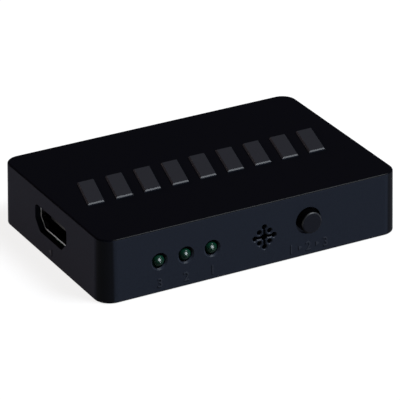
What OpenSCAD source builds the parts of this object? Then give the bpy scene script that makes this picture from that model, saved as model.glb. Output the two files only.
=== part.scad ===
// Three-input video switch box. A case with a screwed-on bottom cover holds a circuit board, which carries
// four video sockets, three lamps, an infrared receiver and a push switch behind a select button.
// Millimetres. X runs left to right along the front, Y from front to back and Z up.
// The origin is the middle of the underside.

/* [Case] */
// Width of the case at its foot, left to right
case_w = 75.6; // [72:0.1:100]
// Depth of the case at its foot, front to back
case_d = 50.1; // [48:0.1:70]
// Height of the case, without the raised bars
case_h = 15.2; // [14.6:0.1:24]
// Radius of the upright corners at the foot
corner_r = 3.9; // [2.8:0.1:6]
// How far each wall leans in from its foot to the roof, so that the case leaves its mould
draft = 0.3; // [0:0.05:0.5]
// Thickness of the side walls at the roof
wall_t = 1; // [0.9:0.1:1.5]
// Thickness of the roof
roof_t = 1.5; // [1:0.1:2]
// Fillet along the top outside edge
top_fillet = 0.5; // [0.2:0.1:0.9]
// Fillet along the bottom outside edge
foot_fillet = 0.3; // [0.1:0.1:0.5]

/* [Raised bars on the roof] */
// Number of slanted bars
bar_count = 9; // [3:1:9]
// Width of one bar
bar_w = 4.1; // [2:0.1:5]
// Distance from one bar to the next
bar_pitch = 7.05; // [5.5:0.05:7.5]
// Length of the bars, front to back
bar_l = 11.3; // [6:0.1:18]
// Lean of the bars to the right, in degrees
bar_lean = 15; // [0:1:25]
// Height of the bars above the roof
bar_h = 0.5; // [0.3:0.1:1]
// Bevel round the top of the bars
bar_bevel = 0.25; // [0.05:0.05:0.25]
// Middle of the row of bars, behind the middle of the case
bar_y = -1.35; // [-8:0.05:8]

/* [Bottom cover] */
// Thickness of the bottom cover
cover_t = 1.5; // [1.2:0.1:2]
// Thickness of the case's skin that hides the edge of the cover
skin_t = 0.8; // [0.6:0.1:1]
// Gap between the cover and the case
cover_gap = 0.1; // [0.05:0.05:0.2]
// Height of the locating rim on the cover
rim_h = 1.2; // [0.5:0.1:1.6]
// Thickness of the locating rim
rim_t = 0.8; // [0.6:0.1:1.2]

/* [Screws] */
// Distance of each screw's axis from the two nearest outside faces
screw_inset = 5; // [5:0.1:6]
// Diameter of the screw's shank
screw_d = 2; // [1.6:0.1:2.4]
// Length of the shank under the head
screw_l = 8; // [6:0.5:10]
// Length of the screw's point
screw_point = 1; // [0.5:0.1:1.5]
// Diameter of the screw's head
screw_head_d = 4; // [3.4:0.1:4.4]
// Height of the screw's head
screw_head_h = 1.2; // [0.8:0.1:1.5]
// Width of the cross in the screw's head
screw_cross_w = 0.6; // [0.4:0.1:0.8]
// Length of the cross in the screw's head
screw_cross_l = 2.4; // [1.6:0.1:3]
// Depth of the cross in the screw's head
screw_cross_t = 0.7; // [0.4:0.1:0.7]
// Depth of the head below the underside of the cover
screw_sink = 0.25; // [0.1:0.05:0.5]
// Gap round the shank where it passes through
screw_gap = 0.3; // [0.1:0.1:0.5]
// Gap round the screw's head
head_gap = 0.2; // [0.1:0.1:0.4]
// Gap between the shank and the bore that it grips
thread_gap = 0.05; // [0.05:0.05:0.1]
// Wall of the case's screw bosses
boss_wall = 1.5; // [1:0.1:1.6]
// Wall of the cover's screw posts
post_wall = 0.5; // [0.4:0.1:0.8]
// Thickness of the ribs from the bosses to the walls
rib_t = 1; // [0.6:0.1:1.5]

/* [Circuit board] */
// Thickness of the circuit board
board_t = 1.6; // [0.8:0.2:2]
// Height of the underside of the board above the cover
board_lift = 2.4; // [2.2:0.1:3]
// Gap between the edge of the board and the walls
board_gap = 0.3; // [0.1:0.1:0.6]
// Radius of the corners of the board, or more where the inside of the case is rounder
board_r = 2.4; // [2:0.1:4]
// How far leads stand out under the board
lead_tail = 1; // [0.5:0.1:1.5]
// Gap round leads in the board
lead_gap = 0.15; // [0.05:0.05:0.2]

/* [Video sockets] */
// Width of a socket's opening
socket_w = 14; // [13:0.1:15]
// Height of a socket's opening
socket_h = 4.55; // [4.2:0.05:5.5]
// Bevel at the two lower corners of the opening
socket_bevel = 2; // [1.2:0.1:2.4]
// Rounding of the corners of the opening
socket_round = 0.5; // [0.2:0.1:0.8]
// Length of a socket's shell
socket_l = 11; // [10:0.5:12]
// Thickness of the sheet metal
sheet_t = 0.4; // [0.3:0.05:0.5]
// Gap between the shell and the opening in the case
cutout_gap = 0.4; // [0.1:0.1:0.6]
// Gap between the mouth of the shell and the inside of the wall
mouth_gap = 0.05; // [0.05:0.05:0.3]
// Gap between the outer input sockets and the screw bosses
boss_gap = 2.1; // [0.5:0.1:4]
// Width of the shell's spring fingers
finger_w = 1.8; // [1.2:0.1:2.2]
// Thickness of the spring fingers
finger_t = 0.2; // [0.1:0.05:0.25]
// Distance of the spring fingers from the middle of the socket
finger_x = 2.8; // [2:0.1:3.2]
// Length of the spring fingers
finger_l = 4.6; // [3:0.1:5]
// Slot round the spring fingers
finger_slot = 0.3; // [0.2:0.05:0.5]
// Lean of the spring fingers, in degrees
finger_lean = 3; // [1:0.5:4]
// Distance of the spring fingers' roots behind the mouth
finger_root = 6.8; // [6:0.1:7.5]
// Width of the shell's solder legs
leg_w = 1.5; // [1:0.1:2]
// Distance of the first pair of solder legs behind the mouth
leg_front = 2.6; // [2:0.1:4]
// Distance of the second pair of solder legs behind the mouth
leg_rear = 8.8; // [7:0.1:9]
// Gap between the insulator and the shell
insulator_gap = 0.05; // [0.05:0.05:0.1]
// Length of the insulator's block at the back of the shell
block_l = 3.4; // [2.5:0.1:3.5]
// Thickness of the tongue
tongue_t = 1.1; // [0.9:0.1:1.4]
// Edge of the tongue beside the last contacts
tongue_edge = 0.3; // [0.2:0.1:0.5]
// Distance of the tongue's tip behind the mouth
tongue_setback = 1.6; // [1:0.1:2.5]
// Number of contacts on top of the tongue, with one fewer below
contact_count = 10; // [8:1:10]
// Distance from one contact to the next
contact_pitch = 1; // [0.9:0.02:1.04]
// Width of a contact
contact_w = 0.4; // [0.25:0.05:0.42]
// Thickness of a contact
contact_t = 0.15; // [0.1:0.01:0.2]
// How far a contact stands out of the tongue
contact_stand = 0.03; // [0.01:0.01:0.05]
// Distance of the contacts' tips behind the tip of the tongue
contact_setback = 0.5; // [0.2:0.1:1]
// Distance of the lower contacts' tails behind the shell
tail_step = 0.5; // [0.3:0.1:0.7]
// Length of the contacts' feet on the board
foot_l = 0.6; // [0.4:0.1:0.8]

/* [Lamps] */
// Diameter of a lamp's lens
lamp_d = 3; // [2.4:0.1:3.4]
// Length of a lens from its base to its tip
lamp_l = 4.8; // [4.6:0.1:6.5]
// How far a lens stands out of the front
lamp_proud = 0.3; // [0:0.1:1.5]
// Gap round a lens in its hole
lamp_gap = 0.15; // [0.1:0.05:0.4]
// Bevel round the holes of the lamps
lamp_bevel = 0.4; // [0.05:0.05:0.45]
// How far the flange at the base stands out of the lens
lamp_flange = 0.4; // [0.2:0.05:0.5]
// Thickness of the flange
lamp_flange_t = 1; // [0.6:0.1:1.2]
// Height of the flange above the board
lamp_stand = 0.05; // [0.05:0.05:0.6]
// Place of the left-hand lamp, right of the middle
lamp_x = -23.6; // [-25:0.1:-22]
// Distance from one lamp to the next
lamp_pitch = 6.55; // [5:0.05:7]
// Thickness of a lamp's leads
lamp_lead_t = 0.5; // [0.4:0.05:0.55]
// Distance between a lamp's two leads
lamp_lead_pitch = 2.54; // [2.2:0.02:2.6]
// Distance of the bend in the leads behind the base
lamp_lead_run = 1.5; // [1:0.1:2.5]
// Diameter of the cup that holds the light source
lamp_cup_d = 1.2; // [0.9:0.1:1.3]
// Height of the cup's rim above the base of the lens
lamp_cup_z = 2.6; // [2:0.1:2.8]
// Height of the cup
lamp_cup_h = 0.6; // [0.4:0.1:0.8]
// Depth of the bowl in the cup
lamp_bowl_h = 0.3; // [0.2:0.05:0.35]
// Diameter of the bottom of the bowl
lamp_bowl_d = 0.6; // [0.4:0.1:0.8]
// Distance of the cup from the lamp's axis
lamp_cup_x = 0.3; // [0.2:0.05:0.4]

/* [Select button] */
// Diameter of the button
button_d = 5.2; // [4.6:0.1:5.4]
// Gap round the button in its hole
button_gap = 0.6; // [0.2:0.1:0.8]
// How far the button stands out of the front
button_proud = 1.6; // [1:0.1:3]
// How far the button can be pressed in
button_travel = 0.3; // [0.2:0.05:0.35]
// Fillet round the face of the button
button_fillet = 0.5; // [0.2:0.1:0.8]
// Place of the button, right of the middle
button_x = 13.9; // [13:0.1:16]
// How far the button's flange reaches past its hole
flange_reach = 0.8; // [0.4:0.1:1]
// Thickness of the button's flange
flange_t = 0.8; // [0.5:0.1:1]
// Gap between the flange and the inside of the wall
flange_gap = 0.1; // [0.05:0.05:0.2]
// Length of the button behind its flange
button_tail = 3.1; // [2.8:0.1:3.5]
// Depth of the socket in the back of the button
button_bore = 2.3; // [1.5:0.1:2.5]

/* [Push switch] */
// Width and height of the switch
switch_w = 6; // [5.8:0.1:6.6]
// Depth of the switch's base
switch_t = 3.4; // [3:0.1:4]
// Thickness of the bracket's sheet metal
bracket_t = 0.3; // [0.2:0.05:0.4]
// Width of the bracket's legs
bracket_leg_w = 1; // [0.6:0.1:1.5]
// Depth of the bracket's side wings
wing_l = 2.4; // [1.5:0.1:2.8]
// Diameter of the plunger's stem
plunger_d = 3.4; // [3:0.1:3.6]
// How far the plunger's flange stands out of its stem
plunger_flange = 0.5; // [0.3:0.05:0.6]
// Thickness of the plunger's flange
plunger_flange_t = 0.6; // [0.4:0.1:0.8]
// Diameter of the nub that presses the dome
nub_d = 2; // [1.4:0.1:2.4]
// Gap round the plunger
plunger_gap = 0.1; // [0.05:0.05:0.15]
// Gap round the stem in the button's socket
stem_gap = 0.05; // [0.02:0.01:0.08]
// Depth of the well for the dome
well_t = 1.9; // [1.8:0.1:2.2]
// Height of the dome
dome_h = 0.45; // [0.4:0.05:0.55]
// Thickness of the dome
dome_t = 0.12; // [0.08:0.02:0.16]
// Diameter of the studs that hold the bracket
stud_d = 0.8; // [0.6:0.1:0.9]
// Width of the switch's terminals
terminal_w = 0.7; // [0.4:0.1:0.8]
// Thickness of the switch's terminals
terminal_t = 0.3; // [0.2:0.05:0.4]
// Distance between the switch's terminals
terminal_pitch = 4.5; // [4:0.1:4.8]
// Height of the terminals inside the base
terminal_root = 1; // [0.5:0.1:1.2]
// Room between the button and the switch when the button is pressed in
switch_clear = 0.4; // [0.2:0.1:0.6]

/* [Infrared receiver] */
// Place of the receiver, right of the middle
ir_x = 2.7; // [1:0.1:4]
// Width of the receiver
ir_w = 5.3; // [4.5:0.1:6]
// Height of the receiver
ir_h = 3; // [2.8:0.1:3.6]
// Depth of the receiver
ir_t = 4; // [3:0.1:4.5]
// Radius of the receiver's lens
ir_lens_r = 1.4; // [1:0.1:1.4]
// How far the lens bulges out
ir_lens_bulge = 0.9; // [0.5:0.1:1]
// Gap between the lens and the wall
ir_gap = 0.3; // [0.1:0.1:0.8]
// Thickness of the shield's sheet metal
shield_t = 0.2; // [0.15:0.05:0.3]
// Depth of the shield
shield_l = 2.6; // [2:0.1:2.8]
// Number of the receiver's leads on each side of its lens
ir_lead_count = 2; // [1:1:2]
// Distance between the receiver's leads
ir_lead_pitch = 0.6; // [0.55:0.05:0.65]
// Height at which the receiver's leads come out
ir_lead_h = 0.75; // [0.5:0.05:1.2]
// Length of the receiver's leads from the body to the bend
ir_lead_run = 0.3; // [0.25:0.05:0.3]
// Diameter of the hole in the middle of the rosette
rosette_hub_d = 1.5; // [1.2:0.1:2]
// Distance of the rosette's outer holes from its middle
rosette_r = 2.4; // [2.2:0.1:2.6]
// Diameter of the rosette's outer holes
rosette_bulb_d = 1.1; // [0.9:0.1:1.4]
// Width of the slots from the middle to the outer holes
rosette_slot_w = 0.5; // [0.4:0.05:0.8]
// Diameter of the holes between the slots
rosette_dot_d = 1.05; // [0.7:0.05:1.35]
// Distance of the holes between the slots from the middle
rosette_dot_r = 1.85; // [1.8:0.01:1.95]
// Bevel round the rosette's holes
rosette_bevel = 0.21; // [0.02:0.01:0.22]

/* [Chips] */
// Width of the switch chip
chip_w = 10; // [8:0.5:11]
// Height of the switch chip
chip_h = 1.4; // [1:0.1:1.6]
// Number of leads along each side of the switch chip
chip_lead_count = 14; // [8:1:15]
// Distance between the leads of the switch chip
chip_lead_pitch = 0.65; // [0.45:0.01:0.7]
// Width of the leads of the switch chip
chip_lead_w = 0.3; // [0.2:0.05:0.35]
// Width of a small chip's body, between its rows of leads
small_chip_w = 3.9; // [3:0.1:4.2]
// Height of a small chip
small_chip_h = 1.5; // [1:0.1:1.8]
// Distance between the leads of a small chip
small_lead_pitch = 1.27; // [1:0.01:1.3]
// Width of the leads of a small chip
small_lead_w = 0.42; // [0.3:0.02:0.6]
// Number of leads along one side of the control chip
control_lead_count = 8; // [4:1:8]
// Number of leads along one side of a memory chip
memory_lead_count = 4; // [2:1:4]
// Distance of a memory chip to the right of its socket
memory_shift = 3.5; // [2:0.1:4]
// Diameter of the dot that marks a chip's first lead
mark_d = 0.6; // [0.3:0.1:0.8]
// Distance of the dot's middle from the chip's edges
mark_inset = 0.9; // [0.7:0.1:1.2]
// Depth of the dot
mark_t = 0.1; // [0.05:0.05:0.2]
// Body beside the last lead of a small chip
small_chip_edge = 0.6; // [0.4:0.1:0.8]
// Thickness of the chips' leads
lead_t = 0.15; // [0.1:0.01:0.2]
// Length of the chips' leads from the body to the bend
lead_run = 0.5; // [0.3:0.05:0.6]
// Room between parts on the board
part_gap = 1.5; // [1.2:0.1:1.8]

/* [Power parts] */
// Width of the voltage regulator
regulator_w = 6.5; // [5:0.1:7]
// Depth of the voltage regulator's body
regulator_d = 3.5; // [3:0.1:4]
// Height of the voltage regulator
regulator_h = 1.6; // [1:0.1:2]
// Distance between the regulator's three leads
regulator_lead_pitch = 2.3; // [1.5:0.1:2.4]
// Width of the regulator's leads
regulator_lead_w = 0.7; // [0.5:0.1:0.9]
// Width of the regulator's cooling tab
regulator_tab_w = 3; // [2:0.1:3.5]
// Diameter of the capacitor cans
can_d = 5; // [4:0.1:5.4]
// Height of the capacitor cans
can_h = 4.5; // [3:0.1:6]
// Height of the capacitors' bases
can_base_h = 0.9; // [0.6:0.1:1.2]
// Edge of the capacitors' bases round the cans
can_edge = 0.15; // [0.1:0.05:0.3]
// Width of the crystal
crystal_w = 11; // [8:0.1:11.5]
// Depth of the crystal
crystal_d = 4.6; // [3.5:0.1:5]
// Height of the crystal's can
crystal_h = 3.2; // [2:0.1:4]
// Edge of the crystal's base round its can
crystal_edge = 0.3; // [0.2:0.05:0.4]
// Thickness of the crystal's base
crystal_base_t = 0.5; // [0.3:0.1:0.8]

/* [Small chip parts] */
// Length of a chip resistor or capacitor between its ends
bead_l = 1; // [0.8:0.1:1.1]
// Length of each soldered end
bead_end = 0.3; // [0.2:0.05:0.35]
// Width of a chip resistor or capacitor
bead_w = 0.8; // [0.5:0.05:0.9]
// Height of a chip resistor
resistor_h = 0.5; // [0.3:0.05:0.7]
// Height of a chip capacitor
capacitor_h = 0.8; // [0.5:0.05:1]
// Rows of chip resistors
resistor_rows = 6; // [3:1:6]
// Columns of chip resistors
resistor_columns = 2; // [1:1:2]
// Rows of chip capacitors
capacitor_rows = 3; // [1:1:3]
// Columns of chip capacitors
capacitor_columns = 3; // [1:1:3]
// Distance from one row to the next
bead_pitch = 1.5; // [1.2:0.1:1.5]

/* [Hidden] */
$fn = 64;

// Cuts run this far past the faces that they open
over = 1;
// Joined pieces of one moulding sink this far into each other
sunk = 0.2;
// Straight steps in a rounded corner of an outline
round_steps = 5;
// Lamps and inputs, one lamp for each input
lamp_count = 3;

// Heights
board_z = cover_t + board_lift;
board_top = board_z + board_t;
ceiling_z = case_h - roof_t;
lamp_z = board_top + lamp_stand + lamp_flange + lamp_d / 2;
button_z = board_top + switch_w / 2;
ir_z = board_top + ir_h / 2;

// Case and screws
corner_x = case_w - 2 * corner_r;
corner_y = case_d - 2 * corner_r;
wall_in = draft + wall_t;
wall_lean = atan(draft / case_h);
inner_r = corner_r - wall_in;
roof_r = corner_r - draft;
screw_x = case_w / 2 - screw_inset;
screw_y = case_d / 2 - screw_inset;
seat_z = screw_sink + screw_head_h;
boss_d = screw_d + 2 * boss_wall;
post_d = screw_head_d + 2 * (head_gap + post_wall);
screw_tip = seat_z + screw_l;

// Places along the button's axis, from the foot of the front outwards
flange_face = -wall_in - flange_gap;
flange_back = flange_face - flange_t;
button_back = flange_back - button_tail;
stem_tip = button_back + button_bore - stem_gap;
bracket_face = button_back - button_travel - switch_clear;
base_face = bracket_face - bracket_t;
base_back = base_face - switch_t;
well_floor = base_face - well_t;
plunger_face = base_face - plunger_gap;
plunger_back = plunger_face - plunger_flange_t;
dome_top = well_floor + dome_h + dome_t;
nub_tip = dome_top + stem_gap;
button_hole_d = button_d + 2 * button_gap;
flange_d = button_hole_d + 2 * flange_reach;

// Places along a lamp's axis, from the foot of the front outwards
lamp_base = lamp_proud - lamp_l;
lamp_dome = lamp_proud - lamp_d / 2;
lamp_bend = lamp_base - lamp_lead_run;
lamp_drop = lamp_z - board_z + lead_tail;

// Places along the receiver's axis, from the foot of the front outwards
ir_face = -wall_in - ir_gap - ir_lens_bulge;
ir_back = ir_face - ir_t;

// Sockets
socket_mid = sheet_t + socket_h / 2;
tongue_w = contact_count * contact_pitch + 2 * tongue_edge;
block_front = socket_l - block_l;
leg_places = [leg_front, leg_rear];
shell_w = socket_w + 2 * sheet_t;
input_pitch = screw_x - boss_d / 2 - boss_gap - shell_w / 2;
input_places = [-input_pitch, 0, input_pitch];
tail_y = case_d / 2 - wall_in - mouth_gap - socket_l - 2 * tail_step - foot_l;

// Board and chips, laid out from the input sockets, the lamps and the bosses
board_w = case_w - 2 * (wall_in + board_gap);
board_d = case_d - 2 * (wall_in + board_gap);
board_corner = max(board_r, inner_r - board_gap);
chip_reach = chip_w / 2 + lead_run + foot_l;
small_reach = small_chip_w / 2 + lead_run + foot_l;
memory_y = tail_y - part_gap - small_reach;
chip_y = memory_y - small_reach - part_gap - chip_reach;
control_l = (control_lead_count - 1) * small_lead_pitch + 2 * small_chip_edge;
memory_l = (memory_lead_count - 1) * small_lead_pitch + 2 * small_chip_edge;
control_x = -chip_reach - part_gap - control_l / 2;
control_y = -case_d / 2 - lamp_bend + lamp_lead_t + part_gap + small_reach;
bead_span = bead_l + 2 * bead_end;
resistor_x = -chip_reach - part_gap - bead_span / 2;
resistor_y = control_y + small_reach + part_gap;
crystal_x = chip_reach + part_gap + crystal_w / 2;
crystal_y = chip_y;
capacitor_x = chip_reach + part_gap + bead_span / 2;
capacitor_y = crystal_y + crystal_d / 2 + crystal_edge + part_gap;
can_base_w = can_d + 2 * can_edge;
can_pitch = can_base_w + part_gap;
can_x = board_w / 2 - part_gap - can_base_w / 2;
can_y = boss_d / 2 - screw_y + part_gap + can_base_w / 2;
regulator_x = part_gap + regulator_w / 2 - board_w / 2;
regulator_y = -shell_w / 2 - part_gap - lead_run - foot_l - regulator_d / 2;

// Points of an outline whose corners are rounded to one radius
function unit(v) = v / norm(v);
function turned(a, b, share) =
    let (angle = acos(a * b))
    (sin((1 - share) * angle) * a + sin(share * angle) * b) / sin(angle);
function rounded(points, radius) = [
    for (i = [0 : len(points) - 1])
        let (
            here = points[i],
            back = unit(points[(i + len(points) - 1) % len(points)] - here),
            ahead = unit(points[(i + 1) % len(points)] - here),
            half = acos(back * ahead) / 2,
            middle = here + unit(back + ahead) * radius / sin(half),
            first = unit(here + back * radius / tan(half) - middle),
            last = unit(here + ahead * radius / tan(half) - middle)
        )
        for (step = [0 : round_steps]) middle + radius * turned(first, last, step / round_steps)
];
function rectangle(w, d) = [[-w / 2, -d / 2], [w / 2, -d / 2], [w / 2, d / 2], [-w / 2, d / 2]];

// Places the children above the foot of the front at x and z, with their own z pointing out of the case
module on_front(x, z) {
    translate([x, -case_d / 2, z]) rotate([90, 0, 0]) children();
}

// Places the children on the leaning face of the front, with their own z square to it
module on_wall(x, z) {
    on_front(x, z) translate([0, 0, -draft * z / case_h]) rotate([-wall_lean, 0, 0]) children();
}

module at_screws() {
    for (x = [-screw_x, screw_x], y = [-screw_y, screw_y]) translate([x, y, 0]) children();
}

// Places a socket with its mouth behind the left wall
module at_output() {
    translate([-case_w / 2 + wall_in + mouth_gap, 0, board_top]) rotate([0, 0, -90]) children();
}

// Places a socket with its mouth behind the back wall
module at_input(number) {
    translate([input_places[number - 1], case_d / 2 - wall_in - mouth_gap, board_top])
        rotate([0, 0, 180]) children();
}

module at_sockets() {
    at_output() children();
    for (number = [1 : lamp_count]) at_input(number) children();
}

function lamp_place(number) = lamp_x + (lamp_count - number) * lamp_pitch;

module at_lamp(number) {
    on_front(lamp_place(number), lamp_z) children();
}

// Block with its middle at x and y and its underside at z
module block(x, y, z, w, d, h) {
    translate([x - w / 2, y - d / 2, z]) cube([w, d, h]);
}

// Sweeps a profile round a rectangle with its outline's corner axes a width and a depth apart
module round_sweep(w, d) {
    for (turn = [0 : 3]) {
        across = turn % 2 == 0 ? w : d;
        along = turn % 2 == 0 ? d : w;
        rotate([0, 0, 90 * turn]) translate([across / 2, 0, 0]) {
            rotate([90, 0, 0]) linear_extrude(along, center = true) children();
            translate([0, along / 2, 0]) rotate_extrude(angle = 90) children();
        }
    }
}

// Cutter that leaves a fillet on the upper outer corner of a profile, above a side that leans in upwards
module fillet_cut(x, y, radius, lean = 0) {
    reach = radius + over;
    translate([x - radius * (1 - sin(lean)) / cos(lean), y - radius]) difference() {
        polygon([[0, 0], reach * [cos(lean), sin(lean)], [reach, reach], [0, reach]]);
        circle(radius);
    }
}

module wall_profile() {
    difference() {
        union() {
            polygon([[inner_r, 0], [corner_r, 0], [roof_r, case_h], [inner_r, case_h]]);
            translate([0, ceiling_z]) square([inner_r, roof_t]);
        }
        translate([inner_r - over, -over]) square([wall_in - skin_t + over, cover_t + over]);
        fillet_cut(roof_r, case_h, top_fillet, wall_lean);
        mirror([0, 1]) fillet_cut(corner_r, 0, foot_fillet, -wall_lean);
    }
}

// Outline across a bar, from a little below the roof to its bevelled top
module bar_section(width) {
    half = width / 2;
    polygon([
        [-half, -sunk], [half, -sunk], [half, bar_h - bar_bevel], [half - bar_bevel, bar_h],
        [bar_bevel - half, bar_h], [-half, bar_h - bar_bevel]
    ]);
}

// A bar is where a run from left to right and a leaning run from front to back cross
module raised_bars() {
    reach = 2 * (bar_l + bar_w);
    for (i = [0 : bar_count - 1])
        translate([(i - (bar_count - 1) / 2) * bar_pitch, bar_y, case_h]) intersection() {
            rotate([90, 0, 90]) linear_extrude(reach, center = true) bar_section(bar_l);
            rotate([90, 0, -bar_lean]) linear_extrude(reach, center = true) bar_section(bar_w * cos(bar_lean));
        }
}

module screw_bosses() {
    rib_l = screw_inset - wall_in + sunk;
    at_screws() translate([0, 0, board_top]) cylinder(d = boss_d, h = ceiling_z - board_top + sunk);
    for (x = [-1, 1], y = [-1, 1])
        block(x * (screw_x + rib_l / 2), y * screw_y, board_top + part_gap,
            rib_l, rib_t, ceiling_z - board_top - part_gap + sunk);
}

// Round hole through a wall whose face is at z = 0, with a bevelled rim
module bevelled_hole(d, bevel) {
    translate([0, 0, -wall_in - over]) cylinder(d = d, h = wall_in + 2 * over);
    translate([0, 0, -bevel]) cylinder(d1 = d, d2 = d + 2 * (bevel + over), h = bevel + over);
}

// Slot along +X through the same wall, with bevelled sides
module bevelled_slot(l, w, bevel) {
    half = w / 2;
    flare = half + bevel + over;
    rotate([90, 0, 90]) linear_extrude(l) polygon([
        [-half, -wall_in - over], [half, -wall_in - over], [half, -bevel],
        [flare, over], [-flare, over], [-half, -bevel]
    ]);
}

module rosette() {
    bevelled_hole(rosette_hub_d, rosette_bevel);
    for (turn = [0 : 90 : 270]) rotate([0, 0, turn]) {
        translate([rosette_r, 0, 0]) bevelled_hole(rosette_bulb_d, rosette_bevel);
        bevelled_slot(rosette_r, rosette_slot_w, rosette_bevel);
        rotate([0, 0, 45]) translate([rosette_dot_r, 0, 0]) bevelled_hole(rosette_dot_d, rosette_bevel);
    }
}

module front_holes() {
    for (number = [1 : lamp_count])
        on_wall(lamp_place(number), lamp_z) bevelled_hole(lamp_d + 2 * lamp_gap, lamp_bevel);
    on_front(button_x, button_z) translate([0, 0, -wall_in - over])
        cylinder(d = button_hole_d, h = wall_in + 2 * over);
    on_wall(ir_x, ir_z) rosette();
}

module upper_case() {
    color([0.05, 0.05, 0.06]) difference() {
        union() {
            round_sweep(corner_x, corner_y) wall_profile();
            block(0, 0, ceiling_z, corner_x, corner_y, roof_t);
            raised_bars();
            screw_bosses();
        }
        at_screws() translate([0, 0, board_top - over])
            cylinder(d = screw_d + 2 * thread_gap, h = screw_tip + screw_point - board_top + over);
        at_sockets() socket_prism(sheet_t + cutout_gap, -wall_in - mouth_gap - over, mouth_gap);
        front_holes();
    }
}

module cover_profile() {
    rim_out = inner_r - cover_gap;
    square([corner_r - skin_t - cover_gap, cover_t]);
    translate([rim_out - rim_t, cover_t]) square([rim_t, rim_h]);
}

module bottom_cover() {
    color([0.06, 0.06, 0.07]) difference() {
        union() {
            round_sweep(corner_x, corner_y) cover_profile();
            block(0, 0, 0, corner_x, corner_y, cover_t);
            at_screws() translate([0, 0, cover_t - sunk]) cylinder(d = post_d, h = board_lift + sunk);
        }
        at_screws() {
            translate([0, 0, -over]) cylinder(d = screw_head_d + 2 * head_gap, h = seat_z + over);
            cylinder(d = screw_d + 2 * screw_gap, h = board_z + over);
        }
    }
}

module case_screw() {
    difference() {
        union() {
            translate([0, 0, screw_sink]) cylinder(d = screw_head_d, h = screw_head_h);
            translate([0, 0, seat_z]) cylinder(d = screw_d, h = screw_l - screw_point);
            translate([0, 0, screw_tip - screw_point]) cylinder(d1 = screw_d, d2 = 0, h = screw_point);
        }
        for (turn = [0, 90]) rotate([0, 0, turn])
            block(0, 0, screw_sink - over, screw_cross_l, screw_cross_w, screw_cross_t + over);
    }
}

module case_screws() {
    color([0.3, 0.3, 0.32]) at_screws() case_screw();
}

// Hole in the board for a flat lead, in the board's own frame
module lead_slot(x, y, w, d) {
    block(x, y, board_z - over, w + 2 * lead_gap, d + 2 * lead_gap, board_t + 2 * over);
}

// Room in the front edge of the board for the button's flange
module flange_notch() {
    depth = -flange_back + button_travel + part_gap;
    block(button_x, (depth - case_d) / 2, board_z - over,
        flange_d + 2 * part_gap, depth, board_t + 2 * over);
}

module circuit_board() {
    color([0.05, 0.3, 0.15]) difference() {
        translate([0, 0, board_z]) linear_extrude(board_t)
            polygon(rounded(rectangle(board_w, board_d), board_corner));
        at_screws() translate([0, 0, board_z - over])
            cylinder(d = screw_d + 2 * screw_gap, h = board_t + 2 * over);
        at_sockets() for (x = [-1, 1], y = leg_places)
            translate([0, 0, -board_top]) lead_slot(x * (socket_w + sheet_t) / 2, y, sheet_t, leg_w);
        for (number = [1 : lamp_count], side = [-1, 1])
            lead_slot(lamp_x + (number - 1) * lamp_pitch + side * lamp_lead_pitch / 2,
                -case_d / 2 - lamp_bend + lamp_lead_t / 2, lamp_lead_t, lamp_lead_t);
        for (side = [-1, 1]) {
            lead_slot(button_x + side * (switch_w + bracket_t) / 2,
                -case_d / 2 - base_face + wing_l / 2, bracket_t, bracket_leg_w);
            lead_slot(button_x + side * terminal_pitch / 2,
                -case_d / 2 - base_back - terminal_t / 2, terminal_w, terminal_t);
        }
        flange_notch();
    }
}

// Socket pieces, with the mouth at y = 0 facing the front and the board at z = 0

// Outline of the socket's opening, grown outwards
module socket_outline(grow) {
    w = socket_w / 2 + grow;
    low = sheet_t - grow;
    high = sheet_t + socket_h + grow;
    bevel = socket_bevel + grow * (2 - sqrt(2));
    polygon(rounded([
        [bevel - w, low], [w - bevel, low], [w, low + bevel], [w, high], [-w, high], [-w, low + bevel]
    ], socket_round + grow));
}

module socket_prism(grow, front, back) {
    translate([0, back, 0]) rotate([90, 0, 0]) linear_extrude(back - front) socket_outline(grow);
}

// Lead that runs back from y = 0 at a height, drops to the board and ends in a foot
module bent_lead(height, run, width, thickness) {
    rotate([90, 0, 90]) linear_extrude(width, center = true) polygon([
        [0, height], [run - thickness, height], [run - thickness, 0], [run + foot_l, 0],
        [run + foot_l, thickness], [run, thickness], [run, height + thickness], [0, height + thickness]
    ]);
}

// Places of the spring fingers' roots, in the top of the shell and in its bottom
module at_fingers() {
    for (x = [-finger_x, finger_x]) {
        translate([x, finger_root, 2 * sheet_t + socket_h]) mirror([0, 0, 1]) children();
        translate([x, finger_root, 0]) children();
    }
}

module socket_shell() {
    color([0.75, 0.75, 0.76]) {
        difference() {
            socket_prism(sheet_t, 0, socket_l);
            socket_prism(0, -over, socket_l + over);
            at_fingers() block(0, -(finger_l + finger_slot) / 2, -over,
                finger_w + 2 * finger_slot, finger_l + finger_slot, sheet_t + 2 * over);
        }
        at_fingers() rotate([-finger_lean, 0, 0])
            block(0, (sunk - finger_l) / 2, (sheet_t - finger_t) / 2, finger_w, finger_l + sunk, finger_t);
        for (side = [-1, 1], y = leg_places)
            block(side * (socket_w + sheet_t) / 2, y, -board_t - lead_tail,
                sheet_t, leg_w, board_t + lead_tail + sheet_t + socket_h - socket_round);
    }
}

// Rows of contacts, on top of the tongue and below it
module socket_contacts() {
    start = tongue_setback + contact_setback;
    top_height = socket_mid + tongue_t / 2 + contact_stand - contact_t;
    low_height = socket_mid - tongue_t / 2 - contact_stand;
    color([0.8, 0.65, 0.3]) {
        for (i = [0 : contact_count - 1])
            translate([(i - (contact_count - 1) / 2) * contact_pitch, start, 0])
                bent_lead(top_height, socket_l + 2 * tail_step - start, contact_w, contact_t);
        for (i = [0 : contact_count - 2])
            translate([(i - (contact_count - 2) / 2) * contact_pitch, start, 0])
                bent_lead(low_height, socket_l + tail_step - start, contact_w, contact_t);
    }
}

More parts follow.
